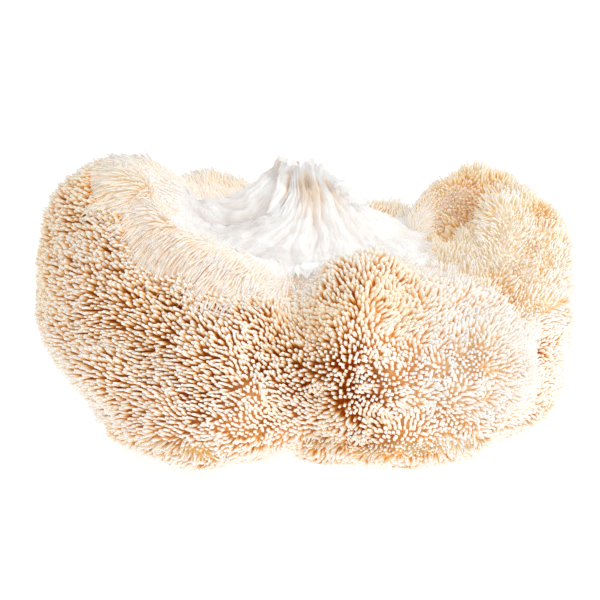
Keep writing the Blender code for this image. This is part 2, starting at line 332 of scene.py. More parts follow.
# Where the fluff is combed less than this it is wool: how dense, thick, long and tousled.
WOOL_COMBING = 0.3
WOOL_SPACING = 0.92
WOOL_RADIUS = 0.42
WOOL_WIDTH_SPREAD = (0.8, 1.2)
WOOL_LENGTH = 3.8
WOOL_LENGTH_SPREAD = (0.75, 1.15)
WOOL_TOUSLE = 0.9
WOOL_SPREAD = 0.14
WOOL_LEAN = (-0.1, -0.15, 0.4)
WOOL_TUFTS = 3.0
# It stands in clumps, which are longer and paler than the wool between them.
CLUMP_SIZE = 5.5
CLUMP_LENGTH = 0.7
CLUMP_TONE = 1.5
# On the right crown's inner side it is shorter by this share.
SHORT_WOOL = 0.55
SHORT_WOOL_PLACE = (38, 22, 68)
SHORT_WOOL_REACH = 14
# It also covers the lobes' feet up to about this height, but not where they look down.
FOOT_WOOL = 14
FOOT_WANDER = ((9, 53, 6),)
WOOL_LOWEST = -0.6

# The tone of the gaps between spines: its middle, its patches and how much it varies.
TONE_MIDDLE = 0.35
TONE_PATCHES = ((13, 7, 0.6), (5, 71, 0.4))
TONE_SPREAD = 0.1
# Where the gaps are darker or paler: centre, radius and change of tone. left_middle, left_upper and
# left_top darken the left side as painted shade, and front_right and right lighten the right as
# painted light, as from a lamp on the right; cleft, cleft_top, crease, right_crease, right_crease_low,
# dent and small_dent are painted shade in those hollows, and ridge and crest painted light on their
# tops.
SHADE_AND_TONE_PATCHES = {
    "left_middle": ((-46, -40, 46), 30, -0.85),
    "left_upper": ((-68, -24, 62), 26, -1.15),
    "left_top": ((-77, -12, 70), 20, -1.4),
    "left_low": ((-40, -46, 8), 26, 0.25),
    "left_foot": ((-14, -50, 16), 22, 0.6),
    "left_edge": ((-88, -10, 54), 24, -0.9),
    "left_back": ((-78, 28, 45), 36, 0.7),
    "back_left": ((-34, 58, 38), 40, 0.7),
    "back_right": ((28, 60, 30), 44, 0.7),
    "right_back": ((78, 34, 40), 30, 0.5),
    "cleft": ((-1, -48, 36), 14, -1.1),
    "cleft_top": ((2, -42, 50), 14, -1.5),
    "front_dark": ((16, -56, 23), 18, -0.95),
    "front_middle": ((34, -56, 38), 18, 0.55),
    "front_foot": ((30, -50, 8), 22, 0.7),
    "front_top": ((26, -42, 58), 18, 0.25),
    "front_right": ((62, -50, 38), 34, 1.8),
    "right": ((86, -10, 42), 38, 1.0),
    "right_crease": ((77, -26, 34), 11, -1.6),
    "right_crease_low": ((76, -30, 18), 10, -1.3),
    "dent": ((50, 10, 63), 15, -1.7),
    "ridge": ((54, -10, 60), 13, 1.9),
    "crest": ((63, 8, 72), 10, 1.2),
    "crown": ((52, 24, 76), 14, -0.1),
    "small_dent": ((74, 8, 68), 7, -0.9),
    "crease": ((60, -22, 53), 11, -2.2),
}
# A change is full within 0.3 radii of its centre, and gone from this many radii on.
TONE_CORE = 1.3
# Fluff is paler towards the hollow.
FLUFF_SHADE = 0.7
# Left of the middle, a band of painted shadow, as cast by the fluff's overhang, lies this far past the
# fluff's edge.
EDGE_SHADE = 0.6
EDGE_SHADE_PLACE = 0.08
EDGE_SHADE_WIDTH = 0.14
EDGE_SHADE_FADE = 20
# Where the growth is golden: centre, radius and strength.
GOLDS = {
    "dent": ((48, 9, 64), 16, 0.9),
    "crown": ((52, 20, 76), 16, 0.6),
    "small_dent": ((74, 8, 66), 10, 0.9),
    "left_rim": ((-62, -6, 76), 16, 0.9),
    "left_edge": ((-88, -8, 54), 20, 0.9),
    "back_left": ((-27, 34, 72), 16, 0.8),
    "front_top": ((24, -42, 57), 16, 0.8),
    "left_low": ((-10, -58, 22), 10, 0.5),
    "cleft_top": ((4, -42, 52), 12, 0.8),
}
# Gold is full within 0.4 radii of its centre, and gone from this many radii on.
GOLD_CORE = 1.4
GOLD_PATCHES = ((8, 23, 0.3),)
# The flesh is pale within the fluff's edge: how far past it, how softly, and how high up.
PALE_EDGE = 0.05
PALE_WIDTH = 0.25
PALE_RISE = 8

# Colours from a hair's foot at 0 to its tip at 1, for each tone, and the painted glow that comes out
# of it. The darker feet are partly painted shade in the gaps, the deep rows painted shade and the
# white rows painted light.
SPINE_COLOURS = {
    "white": ((0, (0.95, 0.76, 0.48)), (0.4, (0.93, 0.86, 0.76)), (0.8, (0.92, 0.9, 0.87))),
    "pale": (
        (0, (0.92, 0.46, 0.1)),
        (0.27, (0.96, 0.69, 0.36)),
        (0.52, (0.99, 0.89, 0.75)),
        (0.8, (0.99, 0.97, 0.94)),
    ),
    "warm": (
        (0, (0.32, 0.04, 0)),
        (0.32, (0.64, 0.23, 0.02)),
        (0.55, (0.94, 0.69, 0.38)),
        (0.8, (0.98, 0.96, 0.92)),
    ),
    "deep": (
        (0, (0.2, 0.02, 0)),
        (0.4, (0.48, 0.13, 0.005)),
        (0.64, (0.9, 0.58, 0.25)),
        (0.88, (0.97, 0.95, 0.9)),
    ),
    "glow": ((0, (1, 0.32, 0.01)), (0.5, (0.85, 0.46, 0.14)), (0.9, (0.5, 0.48, 0.44))),
}
WOOL_COLOURS = {
    "pale": ((0, (0.94, 0.75, 0.48)), (0.4, (0.95, 0.88, 0.77)), (0.8, (0.95, 0.92, 0.88))),
    "warm": ((0, (0.74, 0.36, 0.07)), (0.4, (0.9, 0.63, 0.3)), (0.9, (0.97, 0.9, 0.79))),
    "deep": ((0, (0.5, 0.16, 0.01)), (0.4, (0.8, 0.46, 0.13)), (0.9, (0.96, 0.84, 0.66))),
    "glow": ((0, (1, 0.7, 0.32)), (0.6, (1, 0.8, 0.58)), (1, (0.9, 0.83, 0.78))),
}
FLUFF_GLOW_COLOURS = ((0, (0.88, 0.64, 0.42)), (1, (0.76, 0.72, 0.69)))
WISP_GLOW_COLOURS = ((0, (1, 0.92, 0.82)), (1, (1, 0.97, 0.93)))
FLUFF_COLOURS = {
    "pale": ((0, (0.88, 0.79, 0.68)), (0.4, (0.87, 0.83, 0.79)), (0.9, (0.86, 0.85, 0.84))),
    "warm": ((0, (0.85, 0.57, 0.32)), (0.4, (0.87, 0.76, 0.63)), (0.9, (0.86, 0.83, 0.79))),
}
# What golden growth multiplies its colour by.
SPINE_GOLD = (1.0, 0.92, 0.72, 1)
WOOL_GOLD = (1.0, 0.88, 0.58, 1)
# Colours of the flesh under the spines by its mottling, its deep row painted shade in the gaps, and of
# torn flesh by its fibres, its tan and the painted tan shade in its creases.
SKIN_COLOURS = {
    "deep": ((0.3, (0.3, 0.04, 0)), (0.7, (0.48, 0.11, 0.01))),
    "light": ((0.3, (0.86, 0.54, 0.18)), (0.7, (0.93, 0.67, 0.32))),
    "pale": ((0.3, (0.93, 0.86, 0.76)), (0.7, (0.96, 0.93, 0.88))),
}
SKIN_PALEST = (0.96, 0.8, 0.55, 1)
TORN_COLOURS = {
    "fibres": ((0.3, (0.87, 0.85, 0.83)), (0.5, (0.96, 0.955, 0.95))),
    "stain_and_shade": ((0, (1, 1, 1)), (0.5, (0.92, 0.72, 0.5)), (1, (0.72, 0.45, 0.25))),
}
TORN_CLOUD = (0.94, 0.87, 0.79, 1)
TORN_SHADE = (0.88, 0.84, 0.81, 1)
WHITE = (1, 1, 1, 1)
# How strongly each part gives off a painted glow, which stands in for light that has wandered through
# the flesh and lifts and warms its shade.
SPINE_GLOW = 0.13
WOOL_GLOW = 0.145
FLUFF_GLOW = 0.24
WISP_GLOW = 0.25
SKIN_GLOW = 0.08
TORN_GLOW = 0.1
# Light in the flesh goes farthest in red, over about a millimetre, and its face hardly shines.
SUBSURFACE_RADII = (1.0, 0.55, 0.3)
SUBSURFACE_REACH = 0.0012
SHINE = 0.06

# Floor, light and camera, in metres; the camera's aim and sensor are in millimetres.
FLOOR_SIZE = 6
FLOOR_COLOUR = (0.6, 0.6, 0.6, 1)
FLOOR_GLOW = 0.7
WORLD_STRENGTH = 0.78
KEY_PLACE = (0.6, -0.3, 0.6)
KEY_AIM = (0, 0, 0.04)
KEY_SIZE = 0.35
KEY_POWER = 2.3
KEY_COLOUR = (1, 0.99, 0.98)
SENSOR = 36
CAMERA_AIM = (-3.3, -2.0, 41.4)
CAMERA_ELEVATION = 20
CAMERA_DISTANCE = 0.8
# The width at the mushroom that fills the picture.
CAMERA_FIELD = 0.198


def clear_selection():
    """Leaves nothing selected, so that an operator only works on what it makes."""
    for item in list(bpy.context.selected_objects):
        item.select_set(False)


def add_to_scene(item):
    """Links a new object into the scene."""
    bpy.context.scene.collection.objects.link(item)


def placed(points):
    """Points in millimetres and part.py's numbers, as metres in the row's frame."""
    return (np.asarray(points, dtype=float) - np.array(MIDDLE)) * MM


def add_piece(name, mesh, material):
    """A mesh as a piece of the mushroom's look, riding on its one body."""
    item = bpy.data.objects.new(name, mesh)
    add_to_scene(item)
    mesh.materials.append(material)
    mesh.shade_smooth()
    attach(item, "root")
    return item


def with_modifier(mesh, kind, **settings):
    """The mesh as one modifier leaves it, as a new mesh."""
    item = bpy.data.objects.new("work", mesh)
    add_to_scene(item)
    modifier = item.modifiers.new(kind, kind)
    for key, value in settings.items():
        setattr(modifier, key, value)
    graph = bpy.context.evaluated_depsgraph_get()
    made = bpy.data.meshes.new_from_object(item.evaluated_get(graph))
    bpy.data.objects.remove(item, do_unlink=True)
    return made


# --- the flesh -------------------------------------------------------------------------------


def balls(name, table):
    """The ellipsoids of a table, still overlapping, as one mesh."""
    shell = bmesh.new()
    for centre, radii, lean in table.values():
        turn = Euler([math.radians(angle) for angle in lean]).to_matrix().to_4x4()
        size = Matrix.Diagonal((*(radius * MM for radius in radii), 1))
        place = Matrix.Translation(Vector(centre) * MM) @ turn @ size
        bmesh.ops.create_icosphere(shell, subdivisions=4, radius=1, matrix=place)
    mesh = bpy.data.meshes.new(name)
    shell.to_mesh(mesh)
    shell.free()
    return mesh


def lumped(mesh):
    """Moves the surface in and out by a soft noise, as uneven growth does."""
    normals = [vertex.normal.copy() for vertex in mesh.vertices]
    for vertex, normal in zip(mesh.vertices, normals):
        spot = vertex.co / (LUMP_SIZE * MM) + LUMP_OFFSET
        swell = noise.noise(spot) + noise.noise(spot * 2) * SMALL_LUMPS
        vertex.co += normal * swell * LUMP_HEIGHT * MM
    return mesh


def flesh():
    """The smooth lobed body under the spines, with the hollow round the torn base."""
    voxels = {"mode": "VOXEL", "voxel_size": FLESH_VOXEL * MM}
    mesh = with_modifier(balls("lobes", LOBES), "REMESH", **voxels)
    for name, hollow in HOLLOWS.items():
        cutter = bpy.data.objects.new(name, balls(name, {name: hollow}))
        add_to_scene(cutter)
        mesh = with_modifier(mesh, "BOOLEAN", operation="DIFFERENCE", object=cutter, solver="EXACT")
        bpy.data.objects.remove(cutter, do_unlink=True)
    mesh = with_modifier(mesh, "REMESH", **voxels)
    mesh = with_modifier(mesh, "SMOOTH", factor=0.5, iterations=FLESH_SMOOTHING)
    return lumped(mesh)


def vertex_places(mesh):
    """Where a mesh's vertices are, in millimetres."""
    flat = np.empty(len(mesh.vertices) * 3)
    mesh.vertices.foreach_get("co", flat)
    return flat.reshape(-1, 3) / MM


def vertex_normals(mesh):
    """Which way a mesh's vertices face."""
    flat = np.empty(len(mesh.vertices) * 3)
    mesh.vertices.foreach_get("normal", flat)
    return flat.reshape(-1, 3)


def tree_of(mesh):
    """A mesh in millimetres, to cast rays at."""
    faces = [list(face.vertices) for face in mesh.polygons]
    return BVHTree.FromPolygons(vertex_places(mesh).tolist(), faces)


# --- small vector helpers --------------------------------------------------------------------


def bounded(values):
    """The values, kept between 0 and 1."""
    return np.clip(values, 0, 1)


def unit(vectors):
    """The vectors, each one long."""
    return vectors / np.maximum(np.linalg.norm(vectors, axis=-1, keepdims=True), 1e-9)


def field(points, size, offset):
    """A smooth random vector at each point, changing over about size millimetres.

    The offset picks the part of the noise that is read, here and in the functions below.
    """
    shift = Vector((offset, offset * 0.7, -offset))
    return np.array([noise.noise_vector(Vector(point) / size + shift) for point in points])


def grain(points, size, offset):
    """A smooth random number from about -1 to 1 at each point."""
    shift = Vector((offset, -offset, offset * 0.3))
    return np.array([noise.noise(Vector(point) / size + shift) for point in points])


def grooves(points, size, offset):
    """A noise from -1 to 0 that is flat but for sharp, winding grooves."""
    return np.minimum(np.abs(grain(points, size, offset)) * 5, 1) - 1


def layered(points, layers):
    """A sum of smooth noises, each given by its size, its offset and its height."""
    return sum(grain(points, size, offset) * height for size, offset, height in layers)


def ridges(points, size, offset):
    """A noise from 0 up that falls to sharp, winding valleys."""
    return np.abs(grain(points, size, offset))


def near_share(points, centre, radius, core):
    """How near each point is to a centre: 0 from core radii on, and 1 within core - 1 radii."""
    return bounded(core - np.linalg.norm(points - centre, axis=1) / radius)


def add_values(mesh, name, values):
    """Keeps a number for each vertex, for the material to read."""
    mesh.attributes.new(name, "FLOAT", "POINT").data.foreach_set("value", values)


def add_vectors(mesh, name, vectors):
    """Keeps a vector for each vertex, for the material to read."""
    mesh.attributes.new(name, "FLOAT_VECTOR", "POINT").data.foreach_set("vector", vectors.ravel())


def round_table(table, angles, column):
    """A column of a table whose first column is an angle, read at any angle."""
    return np.interp(angles, table[:, 0], table[:, column], period=360)


def from_left(points, values):
    """Values given at SPINE_PLACES, read at each point's place from left to right."""
    return np.interp(points[:, 0], SPINE_PLACES, values)


def hollow_ways(points):
    """Angle round the torn base's middle and the distance from it, 1 at the skirt's edge."""
    flat = points[:, :2] - TORN_MIDDLE
    angles = np.degrees(np.arctan2(flat[:, 1], flat[:, 0])) % 360
    return angles, np.linalg.norm(flat / TORN_REACH, axis=1)


# --- the torn base ---------------------------------------------------------------------------


def crease_angles(rise):
    """The angle of every crease at each rise, one row a crease."""
    return np.array([np.interp(rise, CREASE_RISES, row[2:]) for row in CREASES])


def torn_grid():
    """Points of the torn flesh before its folds, ring by ring from the outside."""
    angle, rise = np.meshgrid(
        np.arange(TORN_SPOKES) * 360 / TORN_SPOKES,
        np.linspace(TORN_OUTERMOST, 1, TORN_RINGS),
    )
    turned = np.radians(angle)
    reach = TORN_REACH + (TORN_SUMMIT_REACH - TORN_REACH) * rise[..., None]
    middle = TORN_MIDDLE + (TORN_SUMMIT - TORN_MIDDLE) * rise[..., None]
    spread = np.stack((np.cos(turned), np.sin(turned)), axis=-1)
    crest = np.interp(TORN_SUMMIT[0] + TORN_SUMMIT_REACH[0] * np.cos(turned), *TORN_CREST.T)
    skirt = round_table(TORN_SIDES, angle, SKIRT_HEIGHT)
    slope = round_table(TORN_SIDES, angle, SKIRT_SLOPE)
    height = skirt + (crest - skirt) * np.maximum(rise, 0) ** slope
    height += np.minimum(rise, 0) * SKIRT_DROP
    return np.concatenate((middle + reach * spread, height[..., None]), axis=-1), angle, rise


def round_reaches(angle, inside):
    """How many millimetres a radian round the peak is worth at each angle and rise."""
    turned = np.radians(angle)
    reach = TORN_REACH + (TORN_SUMMIT_REACH - TORN_REACH) * inside[..., None]
    return np.hypot(reach[..., 0] * np.sin(turned), reach[..., 1] * np.cos(turned))


def recess(angle, inside):
    """How deep the hollow in the peak's left face is at each point."""
    ends = np.interp(inside, CREASE_RISES, RECESS_ENDS)
    across = bounded((angle - RECESS_STARTS) / np.maximum(ends - RECESS_STARTS, 1))
    floor_share = (across / RECESS_WALL) ** RECESS_SAG
    wall_share = (1 - across) / (1 - RECESS_WALL)
    sunk = np.where(across < RECESS_WALL, floor_share, wall_share)
    return np.interp(inside, CREASE_RISES, RECESS_DEPTHS) * sunk


def peak_flakes(points, inside, away):
    """How far ragged flakes stand out along the peak's right edge, away millimetres from it."""
    ragged = 0.5 + grain(points, 1.6, 21).reshape(inside.shape) * 1.2
    upwards = bounded(np.sin((inside - FLAKE_RISE) * np.pi / (1 - FLAKE_RISE)))
    edge = np.exp(-np.abs(away - 1) / FLAKE_THICKNESS) * upwards
    return FLAKE_HEIGHT * bounded(ragged) * edge * (inside > FLAKE_RISE)


def folds(points, angle, rise):
    """How far the flesh stands out or in at each point: creases, the peak's flakes and the recess."""
    inside = bounded(rise)
    reach = round_reaches(angle, inside)
    wander = layered(points, CREASE_WANDER).reshape(rise.shape) * bounded(reach / WANDER_ROOM)
    width = CREASE_WIDTH * (NARROWEST + (1 - NARROWEST) * bounded(reach / CREASE_ROOM))
    fade = bounded(rise * 5 + 1) * np.clip((1 - inside) * 8, 0.1, 1)
    out = np.zeros(rise.shape)
    for number, (row, centre) in enumerate(zip(CREASES, crease_angles(inside))):
        away = np.radians((angle - centre + 180) % 360 - 180) * reach + wander
        depth = (row[0] + (row[1] - row[0]) * inside) * CREASE_DEPTH
        out -= depth * np.exp(-np.abs(away) / width) * fade
        if number == FLAKE_CREASE:
            out += peak_flakes(points, inside, away)
    return out - recess(angle, inside)


def floors_under(points, tree):
    """The height of the flesh straight below or above each point."""
    hits = [tree.ray_cast(Vector((point[0], point[1], SKY)), DOWN)[0] for point in points]
    return np.array([hit.z if hit else 0 for hit in hits])


def fibre_places(angle, rise, around, along):
    """Places in a noise that follows the folds round the peak and is drawn out along them."""
    centres = crease_angles(bounded(rise))[:, :, 0]
    labels = crease_angles(LABEL_RISE)
    labels = np.concatenate((labels - 360, labels, labels + 360))
    followed = np.empty(angle.shape)
    for ring in range(len(angle)):
        wrapped = np.concatenate((centres[:, ring] - 360, centres[:, ring], centres[:, ring] + 360))
        followed[ring] = np.interp(angle[ring], wrapped, labels)
    turned = np.radians(followed.ravel())
    ring = around / (2 * np.pi)
    return np.stack((np.cos(turned) * ring, np.sin(turned) * ring, rise.ravel() * along), axis=1)


# Small folds of the peak: the kind of noise, how many of its cells go round the peak and up it,
# its offset and its height.
PEAK_FOLDS = (
    (grain, 40, 4, 3, 1.0),
    (grooves, 30, 2.5, 8, 0.5),
    (grain, 90, 7, 46, 0.35),
    (grain, 210, 14, 12, 0.3),
    (ridges, 55, 5, 63, 1.3),
)
# Lumps of the torn flesh: the kind of noise, its size, its offset, and its height on the skirt
# and on the peak.
SKIRT_LUMPS = (
    (grain, 7, 15, 1.6, 0.6),
    (grain, 3, 17, 0.8, 0.4),
    (grooves, 8, 19, 0.99, 0.09),
    (grain, 1.4, 19, 0.35, 0.15),
    (ridges, 6, 61, 1.3, 1.3),
)


def small_folds(points, angle, rise, peak):
    """How far small folds and lumps stand out. peak is 1 on the peak's flanks and low elsewhere."""
    out = np.full(len(points), -FOLDS_SINK)
    for kind, around, along, offset, height in PEAK_FOLDS:
        out += kind(fibre_places(angle, rise, around, along), 1, offset) * height * peak
    for kind, size, offset, low, high in SKIRT_LUMPS:
        out += kind(points, size, offset) * (low + (high - low) * peak)
    return out


def tan_and_crease_shade(points, rise, out):
    """Where the torn flesh is tan: painted shade in the deepest creases, and its own tan on the left
    tip and round the brown opening.
    """
    in_recess = (rise > RECESS_FROM) & (rise < RECESS_TO) & (points[:, 0] < RECESS_RIGHT)
    creased = np.clip(-out - CREASE_SHADE_DEPTH, 0, 1.2) * np.clip(rise - CREASE_SHADE_RISE, 0, 0.35)
    tip = bounded(1 - np.abs(points[:, 0] - TIP_PLACE) / TIP_WIDTH)
    tip *= bounded((rise - TIP_RISE) * 7) * TIP_STAIN
    near = np.linalg.norm((points - CAVITY) / CAVITY_REACH, axis=1) + grain(points, 2.5, 31) * 0.35
    opening = np.clip((1 - near) * 0.9, 0, CAVITY_STAIN)
    return bounded(np.where(in_recess, 0, creased) + tip + opening)


def without_faces(mesh, past):
    """The mesh without the faces that lie wholly past its edge, under the other flesh."""
    shell = bmesh.new()
    shell.from_mesh(mesh)
    shell.verts.ensure_lookup_table()
    gone = [face for face in shell.faces if all(past[vertex.index] >= 1 for vertex in face.verts)]
    bmesh.ops.delete(shell, geom=gone, context="FACES")
    shell.to_mesh(mesh)
    shell.free()
    return mesh


def torn_mesh(points, angle):
    """The rings of the torn flesh joined up, with its top closed."""
    rings, spokes = angle.shape
    index = np.arange(rings * spokes).reshape(rings, spokes)
    after = np.roll(index, -1, axis=1)
    faces = np.stack((index[:-1], after[:-1], after[1:], index[1:]), axis=-1).reshape(-1, 4).tolist()
    faces.append(index[-1].tolist())
    mesh = bpy.data.meshes.new("torn_base")
    mesh.from_pydata((points * MM).tolist(), [], faces)
    return mesh


def laid(points, tree):
    """Torn flesh laid on the lobes and tucked under past its edge, and how far past each point is."""
    floors = floors_under(points, tree)
    gap = np.maximum(0, TORN_BLEND - np.abs(points[:, 2] - floors - TORN_LIFT)) / TORN_BLEND
    points[:, 2] = np.maximum(points[:, 2], floors + TORN_LIFT) + gap * gap * TORN_BLEND / 4
    angles, reach = hollow_ways(points)
    edge = round_table(BANDS, angles, FLESH_EDGE) + layered(points, TORN_EDGE)
    past = bounded((reach - edge) / TORN_EDGE_WIDTH)
    points[:, 2] += past * (floors - TORN_TUCK - points[:, 2])
    points[:, 2] = np.maximum(points[:, 2], FLOOR_GAP)
    return points, past


def torn_base(tree, material):
    """One sheet of torn flesh: the folded peak, and the white skirt that lies in the hollow."""
    grid, angle, rise = torn_grid()
    points = grid.reshape(-1, 3)
    out = folds(points, angle, rise).ravel()
    mesh = torn_mesh(points, angle)
    peak = np.clip(rise.ravel() * 2.5 + 0.15, 0.25, 1) * np.clip((1 - rise.ravel()) * 6, 0.1, 1)
    folded = small_folds(points, angle, rise, peak)
    points += vertex_normals(mesh) * (out + folded)[:, None]
    points, past = laid(points, tree)
    mesh.vertices.foreach_set("co", placed(points).ravel())
    fibre = fibre_places(angle, rise, *PEAK_FIBRES) * peak[:, None]
    add_vectors(mesh, "fibre", fibre + points * SKIRT_FIBRES * (1 - peak[:, None]))
    add_values(mesh, "stain_and_shade", tan_and_crease_shade(points, rise.ravel(), out))
    # Painted shade: darker the farther the folds, creases and recess go in.
    shade = -np.maximum(out, -DEEPEST_SHADE) * FOLD_SHADE - folded * LUMP_SHADE
    add_values(mesh, "shade", bounded(shade) * (1 - past))
    return add_piece("torn_base", without_faces(mesh, past), material)


def flake(place, way, length, width, chance):
    """One ragged leaf of torn flesh: its points and faces."""
    way = unit(np.array(way, dtype=float))
    side = unit(np.cross(way, (0.1, -0.3, 1)))
    lift = np.cross(side, way)
    steps = np.linspace(0, 1, FLAKE_STEPS)
    along, across = np.meshgrid(steps, steps * 2 - 1, indexing="ij")
    ends = length * (1 + chance.uniform(-0.35, 0.35, FLAKE_STEPS))
    edges = 1 + chance.uniform(-0.15, 0.15, FLAKE_STEPS)[:, None]
    wide = width / 2 * (0.7 + 0.5 * np.sin(np.pi * along**0.8)) * edges
    curl = length * (0.16 * np.sin(np.pi * along) - 0.12 * along**2 + 0.08 * across**2)
    points = way * (along * ends)[..., None] + side * (across * wide)[..., None]
    points = np.array(place) + points + lift * curl[..., None]
    index = np.arange(FLAKE_STEPS**2).reshape(FLAKE_STEPS, FLAKE_STEPS)
    faces = np.stack((index[:-1, :-1], index[1:, :-1], index[1:, 1:], index[:-1, 1:]), axis=-1)
    return points.reshape(-1, 3), faces.reshape(-1, 4)


def edge_flake(angle, tree, chance):
    """A small flake near the torn flesh's edge, or nothing over the brown opening."""
    turned = np.radians(angle)
    out = np.array((np.cos(turned), np.sin(turned)))
    reach = round_table(BANDS, angle, FLESH_EDGE) * chance.uniform(*EDGE_FLAKE_REACH)
    place = out * TORN_REACH * reach + TORN_MIDDLE
    hit = tree.ray_cast(Vector((*place, SKY)), DOWN)[0]
    if hit is None or abs(angle - CAVITY_ANGLE) < CAVITY_ROOM:
        return None
    tilt = (chance.normal(0, 0.4), chance.normal(0, 0.4))
    way = (*(out + tilt), chance.uniform(0.1, 0.6))
    length = chance.uniform(*EDGE_FLAKE_LENGTHS)
    width = chance.uniform(*EDGE_FLAKE_WIDTHS)
    return flake((*place, hit.z + EDGE_FLAKE_LIFT), way, length, width, chance)


def flakes(tree, material):
    """The named flakes, and small ones all round the torn flesh where it meets the fluff."""
    chance = np.random.default_rng(SEED + 1)
    made = [flake(*facts, chance) for facts in FLAKES]
    made += [edge_flake(angle, tree, chance) for angle in chance.uniform(0, 360, EDGE_FLAKES)]
    made = [leaf for leaf in made if leaf is not None]
    size = FLAKE_STEPS**2
    points = np.concatenate([points for points, _ in made])
    faces = np.concatenate([faces + number * size for number, (_, faces) in enumerate(made)])
    mesh = bpy.data.meshes.new("torn_flakes")
    mesh.from_pydata(placed(points).tolist(), [], faces.tolist())
    add_vectors(mesh, "fibre", points * SKIRT_FIBRES)
    add_values(mesh, "stain_and_shade", np.zeros(len(points)))
    add_values(mesh, "shade", np.zeros(len(points)))
    return add_piece("torn_flakes", mesh, material)


# --- spines and hairs ------------------------------------------------------------------------

# Each grow function gives its hairs (their roots, the ways that they set off and end, their
# lengths and radii), their profile, how many sides they have, and their tones.


def surface_points(mesh, count, chance):
    """Random points of a mesh with the normals there."""
    mesh.calc_loop_triangles()
    corners = np.empty(len(mesh.loop_triangles) * 3, dtype=int)
    mesh.loop_triangles.foreach_get("vertices", corners)
    corners = corners.reshape(-1, 3)
    places, normals = vertex_places(mesh), vertex_normals(mesh)
    first, second, third = (places[corners[:, corner]] for corner in range(3))
    areas = np.linalg.norm(np.cross(second - first, third - first), axis=1)
    picked = corners[chance.choice(len(areas), count, p=areas / areas.sum())]
    shares = chance.dirichlet((1, 1, 1), count)[..., None]
    return (places[picked] * shares).sum(axis=1), unit((normals[picked] * shares).sum(axis=1))


def thinned(points, spacing):
    """Which of the points to keep so that none is closer to another than its spacing."""
    tree = KDTree(len(points))
    for index, point in enumerate(points):
        tree.insert(point, index)
    tree.balance()
    crowded = np.zeros(len(points), dtype=bool)
    kept = []
    for index, point in enumerate(points):
        if crowded[index]:
            continue
        kept.append(index)
        for _, other, _ in tree.find_range(point, spacing[index]):
            crowded[other] = True
    return np.array(kept)


def hair_points(roots, starts, ends, lengths, radii, profile, sides):
    """The points of tapered, bent hairs: for each one its rings from the root up, then its tip."""
    along, width = np.array(profile).T
    # A hair sets off along starts and has turned half way to ends by its middle.
    bend = along[None, :, None]
    path = starts[:, None] * (bend - bend**2 / 2) + ends[:, None] * bend**2 / 2
    path = roots[:, None] + path * lengths[:, None, None]
    tangent = unit(starts[:, None] * (1 - bend) + ends[:, None] * bend)
    aside = unit(np.cross(starts, np.roll(starts, 1, axis=1) + (0.3, -0.2, 0.1)))[:, None]
    across = unit(aside - tangent * (aside * tangent).sum(axis=-1, keepdims=True))
    third = np.cross(tangent, across)
    turns = np.arange(sides) * 2 * np.pi / sides
    ring = across[:, :, None] * np.cos(turns)[:, None] + third[:, :, None] * np.sin(turns)[:, None]
    ring = path[:, :, None] + ring * (radii[:, None] * width)[:, :, None, None]
    tips = roots + (starts / 2 + ends / 2) * lengths[:, None]
    points = np.concatenate((ring.reshape(len(roots), -1, 3), tips[:, None]), axis=1)
    points[..., 2] = np.maximum(points[..., 2], FLOOR_GAP)
    return np.clip(points, *BOX)


def hair_faces(rings, sides):
    """The faces of one hair: four-cornered ones between its rings, three-cornered ones at its tip."""
    side = np.arange(sides)
    after = (side + 1) % sides
    low = np.arange(rings - 1)[:, None] * sides
    quads = np.stack((low + side, low + after, low + after + sides, low + side + sides), axis=-1)
    top = (rings - 1) * sides
    caps = np.stack((top + side, top + after, np.full(sides, top + sides)), axis=-1)
    return quads.reshape(-1, 4), caps


def swept(name, hairs, profile, sides, facts, material):
    """One mesh of many hairs. profile gives each ring's place along the hair and its width."""
    points = hair_points(*hairs, profile, sides)
    count, size, _ = points.shape
    quads, caps = hair_faces(len(profile), sides)
    loops = np.arange(count)[:, None] * size + np.concatenate((quads.ravel(), caps.ravel()))
    totals = np.tile([4] * len(quads) + [3] * len(caps), count)
    mesh = bpy.data.meshes.new(name)
    mesh.vertices.add(count * size)
    mesh.loops.add(loops.size)
    mesh.polygons.add(len(totals))
    mesh.vertices.foreach_set("co", placed(points.reshape(-1, 3)).ravel())
    mesh.loops.foreach_set("vertex_index", loops.ravel())
    mesh.polygons.foreach_set("loop_start", np.concatenate(((0,), np.cumsum(totals)[:-1])))
    mesh.update(calc_edges=True)
    along = np.repeat([place for place, _ in profile], sides)
    add_values(mesh, "along", np.tile(np.append(along, 1.0), count))
    for fact, values in facts.items():
        add_values(mesh, fact, np.repeat(values, size))
    return add_piece(name, mesh, material)


def leaning(points, normals, chance):
    """Where spines set off and where their tips point: up and aside, in soft whorls."""
    aside = np.interp(points[:, 0], LEAN_PLACES, LEAN_ASIDE)
    up = LEAN_UP * bounded(1 + normals[:, 2] * 1.5)
    lean = np.stack((aside, aside * 0, up), axis=1)
    whorl = from_left(points, WHORLS)[:, None]
    lean += (field(points, WHORL_SIZE, 4) + field(points, SMALL_WHORL_SIZE, 9) * 0.9) * whorl
    lean += chance.normal(0, LEAN_SPREAD, points.shape)
    return unit(normals + lean * ROOT_LEAN), unit(normals * 0.5 + lean)


def combed(points, normals, flat, chance):
    """Fluff sets off out of the flesh; where flat is 1 it lies combed away from the hollow."""
    away = (points[:, :2] - TORN_MIDDLE) / TORN_REACH**2
    away = unit(np.concatenate((away, np.zeros((len(points), 1))), axis=1))
    away = unit(away - normals * (away * normals).sum(axis=1, keepdims=True))
    flat = flat[:, None]
    wave = field(points, COMB_WAVE, 6) * (1.1 - 0.7 * flat)
    wave += chance.normal(0, COMB_SPREAD, points.shape)
    starts = unit(normals * (1.2 - 0.6 * flat) + away * flat + wave * 0.4)
    return starts, unit(away * flat + normals * (0.9 - 0.98 * flat) + wave + COMB_DROOP)


